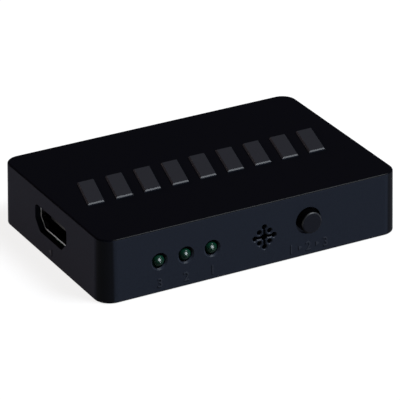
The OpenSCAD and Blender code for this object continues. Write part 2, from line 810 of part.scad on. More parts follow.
module socket_insulator() {
    color([0.07, 0.07, 0.08]) difference() {
        union() {
            socket_prism(-insulator_gap, block_front, socket_l);
            block(0, (tongue_setback + block_front + sunk) / 2, socket_mid - tongue_t / 2,
                tongue_w, block_front + sunk - tongue_setback, tongue_t);
        }
        socket_contacts();
    }
}

// Lamps

module lamp_leads() {
    lead_x = lamp_lead_pitch / 2;
    root_z = lamp_base + lamp_flange_t / 2;
    cup_z = lamp_base + lamp_cup_z - lamp_cup_h;
    color([0.7, 0.7, 0.7]) {
        for (side = [-1, 1]) {
            block(side * lead_x, 0, lamp_bend,
                lamp_lead_t, lamp_lead_t, lamp_lead_run + lamp_flange_t - sunk);
            block(side * lead_x, (lamp_lead_t / 2 - lamp_drop) / 2, lamp_bend - lamp_lead_t,
                lamp_lead_t, lamp_lead_t / 2 + lamp_drop, lamp_lead_t);
        }
        block(-(lead_x + lamp_cup_x) / 2, 0, root_z, lead_x - lamp_cup_x, lamp_lead_t, cup_z - root_z + sunk);
        block(lead_x - lamp_lead_t / 2, 0, root_z, lamp_lead_t, lamp_lead_t, cup_z - root_z);
        translate([-lamp_cup_x, 0, cup_z]) difference() {
            cylinder(d = lamp_cup_d, h = lamp_cup_h);
            translate([0, 0, lamp_cup_h - lamp_bowl_h])
                cylinder(d1 = lamp_bowl_d, d2 = lamp_cup_d, h = 2 * lamp_bowl_h);
        }
    }
}

module lamp_lens() {
    color([0.02, 0.25, 0.12]) difference() {
        union() {
            translate([0, 0, lamp_base]) cylinder(d = lamp_d + 2 * lamp_flange, h = lamp_flange_t);
            translate([0, 0, lamp_base]) cylinder(d = lamp_d, h = lamp_dome - lamp_base);
            translate([0, 0, lamp_dome]) intersection() {
                sphere(d = lamp_d);
                block(0, 0, 0, lamp_d + over, lamp_d + over, lamp_d);
            }
        }
        lamp_leads();
    }
}

// Select button and push switch

module button_profile() {
    length = button_proud - button_back;
    radius = button_d / 2;
    translate([0, button_back]) difference() {
        square([radius, length]);
        fillet_cut(radius, length, button_fillet);
    }
    translate([0, flange_back]) square([flange_d / 2, flange_t]);
}

module select_button() {
    color([0.06, 0.06, 0.07]) on_front(button_x, button_z) difference() {
        rotate_extrude() button_profile();
        translate([0, 0, button_back - over]) cylinder(d = plunger_d + 2 * stem_gap, h = button_bore + over);
    }
}

module at_studs() {
    place = switch_w / 2 - stud_d;
    for (x = [-place, place], y = [-place, place]) translate([x, y, base_face - sunk]) children();
}

module switch_base() {
    well_d = plunger_d + 2 * (plunger_flange + plunger_gap);
    color([0.08, 0.08, 0.08]) on_front(button_x, button_z) difference() {
        union() {
            block(0, 0, base_back, switch_w, switch_w, switch_t);
            at_studs() cylinder(d = stud_d, h = bracket_t + 2 * sunk);
        }
        translate([0, 0, well_floor]) cylinder(d = well_d, h = well_t + over);
        terminal_pins();
    }
}

module terminal_pins() {
    drop = board_t + lead_tail;
    for (side = [-1, 1])
        block(side * terminal_pitch / 2, -switch_w / 2 + (terminal_root - drop) / 2, base_back,
            terminal_w, terminal_root + drop, terminal_t);
}

module switch_terminals() {
    color([0.75, 0.75, 0.72]) on_front(button_x, button_z) terminal_pins();
}

module switch_bracket() {
    drop = board_t + lead_tail;
    color([0.72, 0.72, 0.72]) on_front(button_x, button_z) {
        difference() {
            block(0, 0, base_face, switch_w + 2 * bracket_t, switch_w, bracket_t);
            translate([0, 0, base_face - over])
                cylinder(d = plunger_d + 2 * plunger_gap, h = bracket_t + 2 * over);
            at_studs() cylinder(d = stud_d + 2 * stem_gap, h = bracket_t + over);
        }
        for (side = [-1, 1]) translate([side * (switch_w + bracket_t) / 2, 0, 0]) {
            block(0, 0, base_face - wing_l, bracket_t, switch_w, wing_l);
            block(0, -(switch_w + drop - sunk) / 2, base_face - wing_l / 2 - bracket_leg_w / 2,
                bracket_t, drop + sunk, bracket_leg_w);
        }
    }
}

module switch_plunger() {
    color([0.5, 0.5, 0.5]) on_front(button_x, button_z) {
        translate([0, 0, plunger_back]) cylinder(d = plunger_d + 2 * plunger_flange, h = plunger_flange_t);
        translate([0, 0, plunger_face]) cylinder(d = plunger_d, h = stem_tip - plunger_face);
        translate([0, 0, nub_tip]) cylinder(d = nub_d, h = plunger_back - nub_tip);
    }
}

module switch_dome() {
    reach = plunger_d / 2 + plunger_flange - stem_gap;
    radius = (reach * reach + dome_h * dome_h) / (2 * dome_h);
    color([0.8, 0.8, 0.8]) on_front(button_x, button_z) translate([0, 0, well_floor]) intersection() {
        translate([0, 0, dome_h - radius]) difference() {
            sphere(r = radius + dome_t);
            sphere(r = radius);
        }
        cylinder(r = reach, h = dome_h + over);
    }
}

// Infrared receiver

module ir_receiver() {
    sunk_lens = ir_lens_r - ir_lens_bulge;
    color([0.05, 0.04, 0.05]) on_front(ir_x, ir_z) {
        block(0, 0, ir_back, ir_w, ir_h, ir_t);
        translate([0, 0, ir_face]) intersection() {
            translate([0, 0, -sunk_lens]) sphere(r = ir_lens_r);
            block(0, 0, 0, ir_w, ir_h, ir_t);
        }
    }
}

module ir_shield() {
    color([0.7, 0.7, 0.7]) on_front(ir_x, ir_z) difference() {
        block(0, shield_t / 2, ir_back - shield_t, ir_w + 2 * shield_t, ir_h + shield_t, shield_l + shield_t);
        block(0, -over / 2, ir_back, ir_w, ir_h + over, shield_l + over);
    }
}

module ir_leads() {
    first = ir_lens_r + lead_gap + small_lead_w / 2;
    color([0.72, 0.72, 0.7]) for (side = [-1, 1], i = [0 : ir_lead_count - 1])
        translate([ir_x + side * (first + i * ir_lead_pitch), -case_d / 2 - ir_face, board_top])
            rotate([0, 0, 180]) bent_lead(ir_lead_h, ir_lead_run, small_lead_w, lead_t);
}

// Parts soldered to the top of the board

module chip_body(w, d, h) {
    difference() {
        block(0, 0, lead_t, w, d, h - lead_t);
        translate([mark_inset - w / 2, mark_inset - d / 2, h - mark_t]) cylinder(d = mark_d, h = over);
    }
}

// Row of leads along the +Y side of a chip's body
module lead_row(count, pitch, width, side, height) {
    for (i = [0 : count - 1])
        translate([(i - (count - 1) / 2) * pitch, side, 0]) bent_lead(height / 2, lead_run, width, lead_t);
}

module switch_chip() {
    color([0.08, 0.08, 0.09]) translate([0, chip_y, board_top]) chip_body(chip_w, chip_w, chip_h);
}

module switch_chip_leads() {
    color([0.75, 0.75, 0.75]) translate([0, chip_y, board_top]) for (turn = [0 : 90 : 270])
        rotate([0, 0, turn]) lead_row(chip_lead_count, chip_lead_pitch, chip_lead_w, chip_w / 2, chip_h);
}

module small_chip_leads(count) {
    for (turn = [0, 180]) rotate([0, 0, turn])
        lead_row(count, small_lead_pitch, small_lead_w, small_chip_w / 2, small_chip_h);
}

module at_control() {
    translate([control_x, control_y, board_top]) children();
}

module control_chip() {
    color([0.08, 0.08, 0.09]) at_control() chip_body(control_l, small_chip_w, small_chip_h);
}

module control_chip_leads() {
    color([0.75, 0.75, 0.75]) at_control() small_chip_leads(control_lead_count);
}

module at_memory() {
    for (x = input_places) translate([x + memory_shift, memory_y, board_top]) children();
}

module memory_chips() {
    color([0.08, 0.08, 0.09]) at_memory() chip_body(memory_l, small_chip_w, small_chip_h);
}

module memory_leads() {
    color([0.75, 0.75, 0.75]) at_memory() small_chip_leads(memory_lead_count);
}

module at_regulator() {
    translate([regulator_x, regulator_y, board_top]) children();
}

module voltage_regulator() {
    color([0.08, 0.08, 0.09]) at_regulator() chip_body(regulator_w, regulator_d, regulator_h);
}

module regulator_leads() {
    color([0.75, 0.75, 0.75]) at_regulator() {
        lead_row(1, 0, regulator_tab_w, regulator_d / 2, regulator_h);
        rotate([0, 0, 180]) lead_row(3, regulator_lead_pitch, regulator_lead_w, regulator_d / 2, regulator_h);
    }
}

module quartz_crystal() {
    color([0.78, 0.78, 0.78]) translate([crystal_x, crystal_y, board_top]) {
        linear_extrude(crystal_base_t) polygon(rounded(
            rectangle(crystal_w + 2 * crystal_edge, crystal_d + 2 * crystal_edge), crystal_d / 2));
        translate([0, 0, crystal_base_t]) linear_extrude(crystal_h)
            polygon(rounded(rectangle(crystal_w, crystal_d), crystal_d / 2 - crystal_edge));
    }
}

module at_cans() {
    for (place = [[-1, 0], [0, 0], [0, 1]])
        translate([can_x + place[0] * can_pitch, can_y + place[1] * can_pitch, board_top]) children();
}

module capacitor_cans() {
    color([0.8, 0.8, 0.82]) at_cans() translate([0, 0, can_base_h]) cylinder(d = can_d, h = can_h);
}

module capacitor_bases() {
    color([0.08, 0.08, 0.08]) at_cans() block(0, 0, 0, can_base_w, can_base_w, can_base_h);
}

module at_resistors() {
    for (row = [0 : resistor_rows - 1], column = [0 : resistor_columns - 1])
        translate([resistor_x - column * (bead_span + part_gap),
            resistor_y + row * bead_pitch, board_top]) children();
}

module at_capacitors() {
    for (row = [0 : capacitor_rows - 1], column = [0 : capacitor_columns - 1])
        translate([capacitor_x + column * (bead_span + part_gap),
            capacitor_y + row * bead_pitch, board_top]) children();
}

module chip_resistors() {
    color([0.06, 0.06, 0.07]) at_resistors() block(0, 0, 0, bead_l, bead_w, resistor_h);
}

module chip_capacitors() {
    color([0.6, 0.48, 0.34]) at_capacitors() block(0, 0, 0, bead_l, bead_w, capacitor_h);
}

module bead_ends(height) {
    for (side = [-1, 1]) block(side * (bead_l + bead_end) / 2, 0, 0, bead_end, bead_w, height);
}

module chip_ends() {
    color([0.78, 0.78, 0.76]) {
        at_resistors() bead_ends(resistor_h);
        at_capacitors() bead_ends(capacitor_h);
    }
}

upper_case();
bottom_cover();
case_screws();
circuit_board();
at_output() socket_shell();  // out_socket_shell
at_output() socket_insulator();  // out_socket_insulator
at_output() socket_contacts();  // out_socket_contacts
at_input(1) socket_shell();  // in_1_socket_shell
at_input(1) socket_insulator();  // in_1_socket_insulator
at_input(1) socket_contacts();  // in_1_socket_contacts
at_input(2) socket_shell();  // in_2_socket_shell
at_input(2) socket_insulator();  // in_2_socket_insulator
at_input(2) socket_contacts();  // in_2_socket_contacts
at_input(3) socket_shell();  // in_3_socket_shell
at_input(3) socket_insulator();  // in_3_socket_insulator
at_input(3) socket_contacts();  // in_3_socket_contacts
at_lamp(1) lamp_lens();  // led_1_lens
at_lamp(1) lamp_leads();  // led_1_leads
at_lamp(2) lamp_lens();  // led_2_lens
at_lamp(2) lamp_leads();  // led_2_leads
at_lamp(3) lamp_lens();  // led_3_lens
at_lamp(3) lamp_leads();  // led_3_leads
select_button();
switch_base();
switch_bracket();
switch_plunger();
switch_dome();
switch_terminals();
ir_receiver();
ir_shield();
ir_leads();
switch_chip();
switch_chip_leads();
control_chip();
control_chip_leads();
memory_chips();
memory_leads();
voltage_regulator();
regulator_leads();
quartz_crystal();
capacitor_cans();
capacitor_bases();
chip_resistors();
chip_capacitors();
chip_ends();
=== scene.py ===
"""Looks of a three-input video switch box: finishes, moulded marks, studio light and camera."""
import math

import bmesh
import bpy
from mathutils import Matrix, Vector

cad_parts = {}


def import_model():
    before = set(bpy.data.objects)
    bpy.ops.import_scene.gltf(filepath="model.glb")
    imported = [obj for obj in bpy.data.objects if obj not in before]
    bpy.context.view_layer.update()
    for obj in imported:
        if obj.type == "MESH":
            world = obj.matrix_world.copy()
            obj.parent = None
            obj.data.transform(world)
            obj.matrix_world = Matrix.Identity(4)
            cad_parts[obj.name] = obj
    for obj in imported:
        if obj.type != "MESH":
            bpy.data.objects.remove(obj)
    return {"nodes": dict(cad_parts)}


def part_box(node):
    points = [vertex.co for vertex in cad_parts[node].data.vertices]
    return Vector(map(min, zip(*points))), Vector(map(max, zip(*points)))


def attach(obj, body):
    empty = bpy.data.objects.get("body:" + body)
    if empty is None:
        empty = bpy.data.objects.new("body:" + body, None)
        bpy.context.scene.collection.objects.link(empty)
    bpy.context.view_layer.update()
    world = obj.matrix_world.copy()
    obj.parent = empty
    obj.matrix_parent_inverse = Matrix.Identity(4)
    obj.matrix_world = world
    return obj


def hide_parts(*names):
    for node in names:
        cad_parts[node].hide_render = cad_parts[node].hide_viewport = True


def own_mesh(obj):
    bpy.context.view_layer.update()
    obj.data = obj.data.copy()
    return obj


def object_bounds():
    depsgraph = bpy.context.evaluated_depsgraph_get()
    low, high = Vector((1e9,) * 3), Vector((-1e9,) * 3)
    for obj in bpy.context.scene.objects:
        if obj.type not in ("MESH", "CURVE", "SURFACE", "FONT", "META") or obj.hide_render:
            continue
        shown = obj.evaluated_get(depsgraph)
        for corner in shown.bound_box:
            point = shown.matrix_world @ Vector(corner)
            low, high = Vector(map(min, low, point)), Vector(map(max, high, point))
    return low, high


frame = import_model()
cad_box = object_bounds()
nodes = frame["nodes"]

MM = 0.001
INPUTS = (1, 2, 3)
SOCKETS = ("out", "in_1", "in_2", "in_3")

# Camera, fitted to the outline of the case in the photograph
CAMERA_AZIMUTH = math.radians(-28.63)
CAMERA_ELEVATION = math.radians(25.58)
CAMERA_ROLL = math.radians(-0.27)
CAMERA_DISTANCE = 729.8 * MM
CAMERA_LENS = 289.76
CAMERA_SENSOR = 36.0
CAMERA_SHIFT = (0.0009, -0.0127)

# Places on the case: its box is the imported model's, and the small sizes are those of the source
case_low, case_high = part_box("upper_case")
BAR_HEIGHT = 0.5 * MM
DRAFT = 0.3 * MM
ROOF_FILLET = 0.5 * MM
ROOF_Z = case_high.z - BAR_HEIGHT
FRONT_Y = case_low.y
BACK_Y = case_high.y
LEFT_X = case_low.x
OUTPUT_MOUTH_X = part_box("out_socket_shell")[0].x
INPUT_MOUTH_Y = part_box("in_2_socket_shell")[1].y
MOUTH_REACH = 0.05 * MM


def middle(node):
    """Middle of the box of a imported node."""
    low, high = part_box(node)
    return (low + high) / 2


# Materials

# Inputs and output of a Mix node, by number because several of them share a name
FACTOR = 0
VALUE_A = 2
VALUE_B = 3
COLOUR_A = 6
COLOUR_B = 7
COLOUR = 2

# Widths of grain and stains in millimetres. The real ones are a few hundredths wide, too fine to show in
# the render, so these and those of the other finishes are drawn as coarse as they need to show.
CASE_GRAIN = 0.35
BUTTON_GRAIN = 0.3
SHELL_STAIN = 0.4
EPOXY_FLOW = 1.5
DETAIL = 3.0
GRAIN_HEIGHT = 0.05 * MM
GRAIN_DEPTH = 0.2

# How far the roughness of a finish strays
CASE_STRAY = 0.07
PLASTIC_STRAY = 0.06
METAL_STRAY = 0.08
EPOXY_STRAY = 0.05

# Roughness of the polished parts of a moulding, of the nickel in a socket and of a sheared rim
POLISHED = 0.3
NICKEL_SMOOTH = 0.14
NICKEL_ROUGH = 0.26
SHEARED = 0.5

# Gloss, as the weight of a thin clear coat
ROOF_GLOSS = 0.5
EDGE_GLOSS = 0.075
CORNER_GLOSS = 0.06
BAR_GLOSS = 0.2
HOLE_GLOSS = 0.075
RIM_GLOSS = 0.8

# Where the finish of the case changes, by place
ROOF_BAND_Z = ROOF_Z - 0.5 * ROOF_FILLET
ROOF_BAND_REACH = 0.7 * ROOF_FILLET
BAR_FOOT_Z = ROOF_Z + 0.3 * BAR_HEIGHT
HOLES_TOP_Z = ROOF_Z - 2 * MM
HOLES_REACH = 30 * MM
CORNERS_X = case_high.x - 4.5 * MM

# Where it changes by direction: how far up or forward a face looks, from 0 for not at all to 1 for straight
SLOPE = math.sqrt(0.5)
BAR_SLOPE_REACH = 0.06
HOLE_SLOPE_REACH = 0.1
WALL_ENDS = 0.3
FILLET_STARTS = 0.45
FILLET_ENDS = 0.93
ROOF_STARTS = 0.99
UPRIGHT = 0.3
UPRIGHT_REACH = 0.5

# The same for the upright corners, by how far a face looks aside times how far forwards or back
CORNER_STARTS = 0.15
CORNER_FULL = 0.27

# The same for the button, by how far back a face looks, which is -1 for its pressed face
FACE_ENDS = -0.97
RIM_STARTS = -0.85
# From DULL_ENDS to SMOOTH_STARTS the button darkens towards its sides: painted shade
DULL_ENDS = -0.95
SMOOTH_STARTS = -0.6
RIM_ENDS = -0.5
SIDE_STARTS = -0.2

# How far the upright corners go from dull to smooth, and to a dark colour that is painted shade
CORNER_SHADE = 0.8

# The shine of the button's rim and of the lamps, by how far up a face looks
RIM_SHINE_STARTS = -0.2
RIM_SHINE_FULL = 0.3
LAMP_SHINE_STARTS = 0.0
LAMP_SHINE_FULL = 0.2
LAMP_SHINE = 0.6

# How far the clear coat of a lamp leans to the right and up, so that its shine falls near the middle
LAMP_LEAN = (0.12, 0.0, 0.6)


def srgb(code):
    """Linear colour with full alpha from an sRGB hex code."""
    parts = [int(code[i:i + 2], 16) / 255 for i in (1, 3, 5)]
    linear = [p / 12.92 if p <= 0.04045 else ((p + 0.055) / 1.055) ** 2.4 for p in parts]
    return (*linear, 1.0)


def per_mm(size):
    """Texture scale at which one feature is about this many millimetres wide."""
    return 1.0 / (size * MM)


def add(tree, kind, inputs=None, **settings):
    """Adds a node with its settings, and sets or links its inputs."""
    node = tree.nodes.new(kind)
    for name, value in settings.items():
        setattr(node, name, value)
    for socket, value in (inputs or {}).items():
        if isinstance(value, bpy.types.NodeSocket):
            tree.links.new(value, node.inputs[socket])
        else:
            node.inputs[socket].default_value = value
    return node


def new_material(name, **inputs):
    """Material with its node tree and its shader, whose inputs are named with _ for a space."""
    material = bpy.data.materials.new(name)
    material.use_nodes = True
    tree = material.node_tree
    shader = tree.nodes["Principled BSDF"]
    for socket, value in inputs.items():
        shader.inputs[socket.replace("_", " ")].default_value = value
    return material, tree, shader


def dull_and_smooth(tree, shader, grain, smooth, dull, polished_and_shaded_colour, roughness):
    """Finishes a moulding: grained and dull where smooth is 0, smooth and dark where 1, the dark being
    polish and painted shade.
    """
    rough = add(tree, "ShaderNodeMapRange", {
        "Value": grain, "To Min": roughness - CASE_STRAY, "To Max": roughness + CASE_STRAY}).outputs[0]
    gloss = add(tree, "ShaderNodeMix", {FACTOR: smooth, VALUE_A: rough, VALUE_B: POLISHED}).outputs[0]
    colour = add(tree, "ShaderNodeMix", {
        FACTOR: smooth, COLOUR_A: dull, COLOUR_B: srgb(polished_and_shaded_colour)},
        data_type="RGBA").outputs[COLOUR]
    depth = add(tree, "ShaderNodeMapRange", {
        "Value": smooth, "To Min": GRAIN_DEPTH, "To Max": 0.0}).outputs[0]
    bump = add(tree, "ShaderNodeBump", {
        "Strength": depth, "Distance": GRAIN_HEIGHT, "Height": grain}).outputs[0]
    tree.links.new(colour, shader.inputs["Base Color"])
    tree.links.new(gloss, shader.inputs["Roughness"])
    tree.links.new(bump, shader.inputs["Normal"])


def moulded_abs_case():
    """Black ABS from a tool with a polished roof and spark-eroded walls.

    The roof is a deep black. The walls and the bars are dull, faintly blue and finely grained. The insides
    of openings, the rounded foot and the upright corners are smooth, and drawn dark as painted shade. The
    corners keep a faint gloss, and the bevels of bars and holes a thin one.
    The walls mirror next to nothing, so the specular level is low and gloss is left to the coat.
    """
    material, tree, shader = new_material(
        "moulded_abs_case", IOR=1.52, Specular_IOR_Level=0.002, Coat_Roughness=0.24)
    coords = add(tree, "ShaderNodeTexCoord").outputs["Object"]
    place = add(tree, "ShaderNodeSeparateXYZ", {0: coords})
    normal = add(tree, "ShaderNodeNewGeometry").outputs["Normal"]
    facing = add(tree, "ShaderNodeSeparateXYZ", {0: normal})

    # Roof, and its edge with less gloss
    roof_high = add(tree, "ShaderNodeMath", {
        0: place.outputs["Z"], 1: ROOF_BAND_Z, 2: ROOF_BAND_REACH}, operation="COMPARE").outputs[0]
    rounded = add(tree, "ShaderNodeMapRange", {
        "Value": facing.outputs["Z"], "From Min": WALL_ENDS, "From Max": FILLET_STARTS}).outputs[0]
    level = add(tree, "ShaderNodeMapRange", {
        "Value": facing.outputs["Z"], "From Min": FILLET_ENDS, "From Max": ROOF_STARTS,
        "To Min": EDGE_GLOSS, "To Max": ROOF_GLOSS}).outputs[0]
    roof = add(tree, "ShaderNodeMath", {0: rounded, 1: roof_high}, operation="MULTIPLY").outputs[0]
    roof_gloss = add(tree, "ShaderNodeMath", {0: roof, 1: level}, operation="MULTIPLY").outputs[0]

    # Bevels of the bars
    bar_high = add(tree, "ShaderNodeMath", {
        0: place.outputs["Z"], 1: BAR_FOOT_Z}, operation="GREATER_THAN").outputs[0]
    sloping = add(tree, "ShaderNodeMath", {
        0: facing.outputs["Z"], 1: SLOPE, 2: BAR_SLOPE_REACH}, operation="COMPARE").outputs[0]
    bar_bevel = add(tree, "ShaderNodeMath", {0: sloping, 1: bar_high}, operation="MULTIPLY").outputs[0]
    bar_gloss = add(tree, "ShaderNodeMath", {0: bar_bevel, 1: BAR_GLOSS}, operation="MULTIPLY").outputs[0]

    # Bevels of the holes in the front
    hole_high = add(tree, "ShaderNodeMath", {
        0: place.outputs["Z"], 1: HOLES_TOP_Z}, operation="LESS_THAN").outputs[0]
    flared = add(tree, "ShaderNodeMath", {
        0: facing.outputs["Y"], 1: -SLOPE, 2: HOLE_SLOPE_REACH}, operation="COMPARE").outputs[0]
    inward = add(tree, "ShaderNodeMath", {
        0: place.outputs["X"], 1: 0.0, 2: HOLES_REACH}, operation="COMPARE").outputs[0]
    hole_bevel = add(tree, "ShaderNodeMath", {0: flared, 1: inward}, operation="MULTIPLY").outputs[0]
    hole_bevel = add(tree, "ShaderNodeMath", {0: hole_bevel, 1: hole_high}, operation="MULTIPLY").outputs[0]
    hole_gloss = add(tree, "ShaderNodeMath", {
        0: hole_bevel, 1: HOLE_GLOSS}, operation="MULTIPLY").outputs[0]

    # Upright corners, with a faint gloss and a dark colour that is painted shade
    across = add(tree, "ShaderNodeMath", {
        0: facing.outputs["X"], 1: facing.outputs["Y"]}, operation="MULTIPLY").outputs[0]
    aslant = add(tree, "ShaderNodeMath", {0: across}, operation="ABSOLUTE").outputs[0]
    turned = add(tree, "ShaderNodeMapRange", {
        "Value": aslant, "From Min": CORNER_STARTS, "From Max": CORNER_FULL}).outputs[0]
    between = add(tree, "ShaderNodeMath", {
        0: place.outputs["X"], 1: 0.0, 2: CORNERS_X}, operation="COMPARE").outputs[0]
    corner = add(tree, "ShaderNodeMath", {
        0: turned, 1: between}, operation="SUBTRACT", use_clamp=True).outputs[0]
    corner_painted_shade = add(tree, "ShaderNodeMath", {
        0: corner, 1: CORNER_SHADE}, operation="MULTIPLY").outputs[0]
    corner_gloss = add(tree, "ShaderNodeMath", {
        0: corner, 1: CORNER_GLOSS}, operation="MULTIPLY").outputs[0]

    bevels = add(tree, "ShaderNodeMath", {0: bar_gloss, 1: hole_gloss}, operation="MAXIMUM").outputs[0]
    edges = add(tree, "ShaderNodeMath", {0: bevels, 1: corner_gloss}, operation="MAXIMUM").outputs[0]
    coat = add(tree, "ShaderNodeMath", {0: roof_gloss, 1: edges}, operation="MAXIMUM").outputs[0]
    tree.links.new(coat, shader.inputs["Coat Weight"])

    # Floors and ceilings of the openings, and the rounded foot, drawn dark as painted shade
    upright = add(tree, "ShaderNodeMath", {
        0: facing.outputs["Z"], 1: UPRIGHT, 2: UPRIGHT_REACH}, operation="COMPARE").outputs[0]
    opening_painted_shade = add(tree, "ShaderNodeMath", {
        0: hole_high, 1: upright}, operation="SUBTRACT", use_clamp=True).outputs[0]
    smooth = add(tree, "ShaderNodeMath", {0: roof, 1: opening_painted_shade}, operation="MAXIMUM").outputs[0]
    smooth = add(tree, "ShaderNodeMath", {0: smooth, 1: corner_painted_shade}, operation="MAXIMUM").outputs[0]

    grain = add(tree, "ShaderNodeTexNoise", {
        "Vector": coords, "Scale": per_mm(CASE_GRAIN), "Detail": DETAIL}).outputs["Fac"]
    walls = add(tree, "ShaderNodeMix", {
        FACTOR: grain, COLOUR_A: srgb("#252831"), COLOUR_B: srgb("#2c303a")},
        data_type="RGBA").outputs[COLOUR]
    bars = add(tree, "ShaderNodeMix", {
        FACTOR: grain, COLOUR_A: srgb("#212125"), COLOUR_B: srgb("#29292d")},
        data_type="RGBA").outputs[COLOUR]
    dull = add(tree, "ShaderNodeMix", {
        FACTOR: bar_high, COLOUR_A: walls, COLOUR_B: bars},
        data_type="RGBA").outputs[COLOUR]
    # The dark colour is the polished roof's own, and painted shade on the openings, the foot and the corners
    dull_and_smooth(tree, shader, grain, smooth, dull, "#07070b", roughness=0.38)
    return material


def satin_abs_button():
    """Black ABS of the button: a dull pressed face, painted shade on its dark sides, and a rim that shines
    softly above.
    """
    material, tree, shader = new_material(
        "satin_abs_button", IOR=1.52, Specular_IOR_Level=0.02, Coat_Roughness=0.5)
    coords = add(tree, "ShaderNodeTexCoord").outputs["Object"]
    normal = add(tree, "ShaderNodeNewGeometry").outputs["Normal"]
    facing = add(tree, "ShaderNodeSeparateXYZ", {0: normal})
    sides = add(tree, "ShaderNodeMapRange", {
        "Value": facing.outputs["Y"], "From Min": RIM_ENDS, "From Max": SIDE_STARTS}).outputs[0]
    rim = add(tree, "ShaderNodeMapRange", {
        "Value": facing.outputs["Y"], "From Min": FACE_ENDS, "From Max": RIM_STARTS,
        "To Max": RIM_GLOSS}).outputs[0]
    upward = add(tree, "ShaderNodeMapRange", {
        "Value": facing.outputs["Z"], "From Min": RIM_SHINE_STARTS, "From Max": RIM_SHINE_FULL}).outputs[0]
    rim = add(tree, "ShaderNodeMath", {0: rim, 1: upward}, operation="MULTIPLY").outputs[0]
    gloss = add(tree, "ShaderNodeMix", {FACTOR: sides, VALUE_A: rim, VALUE_B: 0.0}).outputs[0]
    tree.links.new(gloss, shader.inputs["Coat Weight"])
    # Painted shade: the rim and the sides are drawn near black
    smooth = add(tree, "ShaderNodeMapRange", {
        "Value": facing.outputs["Y"], "From Min": DULL_ENDS, "From Max": SMOOTH_STARTS}).outputs[0]
    grain = add(tree, "ShaderNodeTexNoise", {
        "Vector": coords, "Scale": per_mm(BUTTON_GRAIN), "Detail": DETAIL}).outputs["Fac"]
    dull = add(tree, "ShaderNodeMix", {
        FACTOR: grain, COLOUR_A: srgb("#1b1c22"), COLOUR_B: srgb("#23242b")},
        data_type="RGBA").outputs[COLOUR]
    dull_and_smooth(tree, shader, grain, smooth, dull, "#030304", roughness=0.42)
    return material


def grained_plastic(name, dark, light, grain_mm, roughness, specular=0.3, depth=GRAIN_DEPTH):
    """Dull moulded plastic with a fine grain in its colour, gloss and surface."""
    material, tree, shader = new_material(name, IOR=1.5, Specular_IOR_Level=specular)
    coords = add(tree, "ShaderNodeTexCoord").outputs["Object"]
    grain = add(tree, "ShaderNodeTexNoise", {
        "Vector": coords, "Scale": per_mm(grain_mm), "Detail": DETAIL}).outputs["Fac"]
    colour = add(tree, "ShaderNodeMix", {
        FACTOR: grain, COLOUR_A: srgb(dark), COLOUR_B: srgb(light)},
        data_type="RGBA").outputs[COLOUR]
    gloss = add(tree, "ShaderNodeMapRange", {
        "Value": grain,
        "To Min": roughness - PLASTIC_STRAY, "To Max": roughness + PLASTIC_STRAY}).outputs[0]
    bump = add(tree, "ShaderNodeBump", {
        "Strength": depth, "Distance": GRAIN_HEIGHT, "Height": grain}).outputs[0]
    tree.links.new(colour, shader.inputs["Base Color"])
    tree.links.new(gloss, shader.inputs["Roughness"])
    tree.links.new(bump, shader.inputs["Normal"])
    return material


def plated_metal(name, dark, light, stain_mm, roughness):
    """Rolled, drawn or plated metal, faintly stained in its colour and gloss."""
    material, tree, shader = new_material(name, Metallic=1.0)
    coords = add(tree, "ShaderNodeTexCoord").outputs["Object"]
    stain = add(tree, "ShaderNodeTexNoise", {
        "Vector": coords, "Scale": per_mm(stain_mm), "Detail": DETAIL}).outputs["Fac"]
    colour = add(tree, "ShaderNodeMix", {
        FACTOR: stain, COLOUR_A: srgb(dark), COLOUR_B: srgb(light)},
        data_type="RGBA").outputs[COLOUR]
    gloss = add(tree, "ShaderNodeMapRange", {
        "Value": stain, "To Min": roughness - METAL_STRAY, "To Max": roughness + METAL_STRAY}).outputs[0]
    tree.links.new(colour, shader.inputs["Base Color"])
    tree.links.new(gloss, shader.inputs["Roughness"])
    return material


def nickel_plated_shell():
    """Nickel-plated sheet steel: smooth inside a socket and drawn darker there as painted shade, with a
    bright sheared rim at the mouth.
    """
    material, tree, shader = new_material("nickel_plated_shell", Metallic=1.0)
    coords = add(tree, "ShaderNodeTexCoord").outputs["Object"]
    place = add(tree, "ShaderNodeSeparateXYZ", {0: coords})
    left_rim = add(tree, "ShaderNodeMath", {
        0: place.outputs["X"], 1: OUTPUT_MOUTH_X, 2: MOUTH_REACH}, operation="COMPARE").outputs[0]
    back_rim = add(tree, "ShaderNodeMath", {
        0: place.outputs["Y"], 1: INPUT_MOUTH_Y, 2: MOUTH_REACH}, operation="COMPARE").outputs[0]
    rim = add(tree, "ShaderNodeMath", {0: left_rim, 1: back_rim}, operation="MAXIMUM").outputs[0]
    stain = add(tree, "ShaderNodeTexNoise", {
        "Vector": coords, "Scale": per_mm(SHELL_STAIN), "Detail": DETAIL}).outputs["Fac"]
    # Painted shade: inside the socket the shell is drawn a darker grey than at its rim
    inside = add(tree, "ShaderNodeMix", {
        FACTOR: stain, COLOUR_A: srgb("#77777a"), COLOUR_B: srgb("#949496")},
        data_type="RGBA").outputs[COLOUR]
    colour = add(tree, "ShaderNodeMix", {
        FACTOR: rim, COLOUR_A: inside, COLOUR_B: srgb("#dcdcdc")},
        data_type="RGBA").outputs[COLOUR]
    smooth = add(tree, "ShaderNodeMapRange", {
        "Value": stain, "To Min": NICKEL_SMOOTH, "To Max": NICKEL_ROUGH}).outputs[0]
    gloss = add(tree, "ShaderNodeMix", {FACTOR: rim, VALUE_A: smooth, VALUE_B: SHEARED}).outputs[0]
    tree.links.new(colour, shader.inputs["Base Color"])
    tree.links.new(gloss, shader.inputs["Roughness"])
    return material


